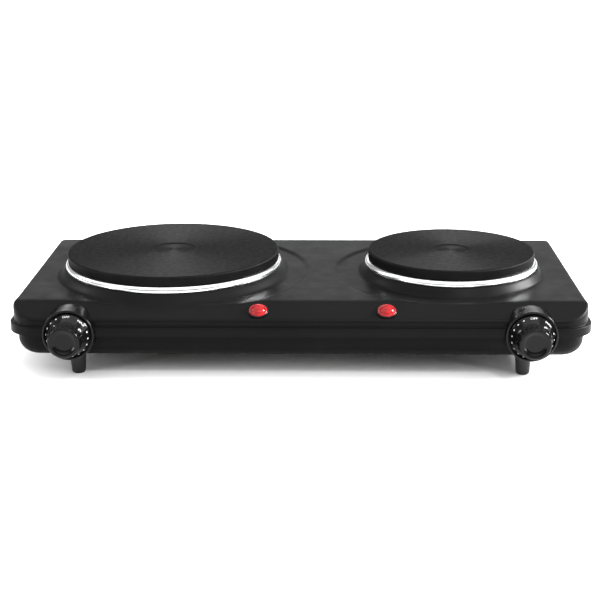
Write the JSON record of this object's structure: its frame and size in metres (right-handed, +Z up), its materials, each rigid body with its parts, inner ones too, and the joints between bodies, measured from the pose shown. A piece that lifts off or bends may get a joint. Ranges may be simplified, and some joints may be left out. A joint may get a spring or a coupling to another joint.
{
  "type": "double hot plate",
  "caption": "Free-standing countertop hot plate with a large and a small cast iron plate on chromed trim rings, dial knobs and indicator lamps on a sloping front.",
  "frame": {"origin": "on the table, under the middle of the object's box", "axes": "+X to the right as the user faces it, +Y to the back, away from the knobs, +Z up"},
  "size_m": [0.476, 0.2516, 0.0793],
  "materials": {
    "black_coated_steel": "satin black heat-resistant coating",
    "pan_coated_steel": "satin black coating",
    "zinc_steel": "zinc plated",
    "plated_sheet": "aluminised sheet",
    "spring_steel": "bright spring steel",
    "cast_iron": "matt black, fine turned face",
    "trim_chrome": "bright chrome",
    "coil_alloy": "resistance alloy",
    "mineral_fill": "pressed mineral powder",
    "ivory_ceramic": "unglazed steatite",
    "brass_parts": "turned brass",
    "copper_blade": "copper alloy strip",
    "knob_plastic": "glossy moulded thermoset",
    "bezel_plastic": "glossy moulded thermoset",
    "foot_plastic": "moulded black",
    "black_nylon": "moulded nylon",
    "red_lens": "translucent red",
    "lamp_glass": "clear glass with neon electrodes",
    "brown_insulation": "glass-braid sleeving",
    "blue_insulation": "glass-braid sleeving",
    "black_insulation": "glass-braid sleeving"
  },
  "bodies": {
    "casing": {"top_housing": "black_coated_steel", "base_pan": "pan_coated_steel", "base_posts": "zinc_steel", "base_screws": "zinc_steel", "large_plate": "cast_iron", "large_trim_ring": "trim_chrome", "large_heating_coil": "coil_alloy", "large_insulation": "mineral_fill", "large_bottom_cover": "plated_sheet", "large_centre_stud": "zinc_steel", "large_strap": "plated_sheet", "large_terminal_block": "ivory_ceramic", "small_plate": "cast_iron", "small_trim_ring": "trim_chrome", "small_heating_coil": "coil_alloy", "small_insulation": "mineral_fill", "small_bottom_cover": "plated_sheet", "small_centre_stud": "zinc_steel", "small_strap": "plated_sheet", "small_terminal_block": "ivory_ceramic", "strap_nuts": "zinc_steel", "left_knob_bezel": "bezel_plastic", "left_thermostat": "ivory_ceramic", "left_spindle_bush": "brass_parts", "left_bush_nut": "zinc_steel", "left_contact_blade": "copper_blade", "left_bracket": "plated_sheet", "right_knob_bezel": "bezel_plastic", "right_thermostat": "ivory_ceramic", "right_spindle_bush": "brass_parts", "right_bush_nut": "zinc_steel", "right_contact_blade": "copper_blade", "right_bracket": "plated_sheet", "bracket_screws": "zinc_steel", "left_lamp_bezel": "bezel_plastic", "left_lens": "red_lens", "left_neon_lamp": "lamp_glass", "right_lamp_bezel": "bezel_plastic", "right_lens": "red_lens", "right_neon_lamp": "lamp_glass", "front_left_foot": "foot_plastic", "front_right_foot": "foot_plastic", "rear_left_foot": "foot_plastic", "rear_right_foot": "foot_plastic", "foot_screws": "zinc_steel", "cord_gland": "black_nylon", "mains_terminal_block": "ivory_ceramic", "earth_screw": "brass_parts", "live_wires": "brown_insulation", "neutral_wires": "blue_insulation", "switched_wires": "black_insulation"},
    "left_knob_body": {"left_knob": "knob_plastic", "left_knob_clip": "spring_steel", "left_spindle": "brass_parts"},
    "left_pin_body": {"left_adjusting_pin": "ivory_ceramic"},
    "right_knob_body": {"right_knob": "knob_plastic", "right_knob_clip": "spring_steel", "right_spindle": "brass_parts"},
    "right_pin_body": {"right_adjusting_pin": "ivory_ceramic"}
  },
  "joints": [
    {"name": "left_knob_turn", "type": "hinge", "parent": "casing", "child": "left_knob_body", "pos_m": [-0.186, -0.10025, 0.039], "axis": [0, 1, 0], "range_deg": [0, 315]},
    {"name": "left_pin_slide", "type": "slide", "parent": "casing", "child": "left_pin_body", "axis": [0, 1, 0], "range_m": [0, 0.0016]},
    {"name": "right_knob_turn", "type": "hinge", "parent": "casing", "child": "right_knob_body", "pos_m": [0.186, -0.10025, 0.039], "axis": [0, 1, 0], "range_deg": [0, 315]},
    {"name": "right_pin_slide", "type": "slide", "parent": "casing", "child": "right_pin_body", "axis": [0, 1, 0], "range_m": [0, 0.0016]}
  ],
  "couplings": [
    {"joint": "left_pin_slide", "follows": "left_knob_turn", "m_per_rad": 0.00029103},
    {"joint": "right_pin_slide", "follows": "right_knob_turn", "m_per_rad": 0.00029103}
  ]
}
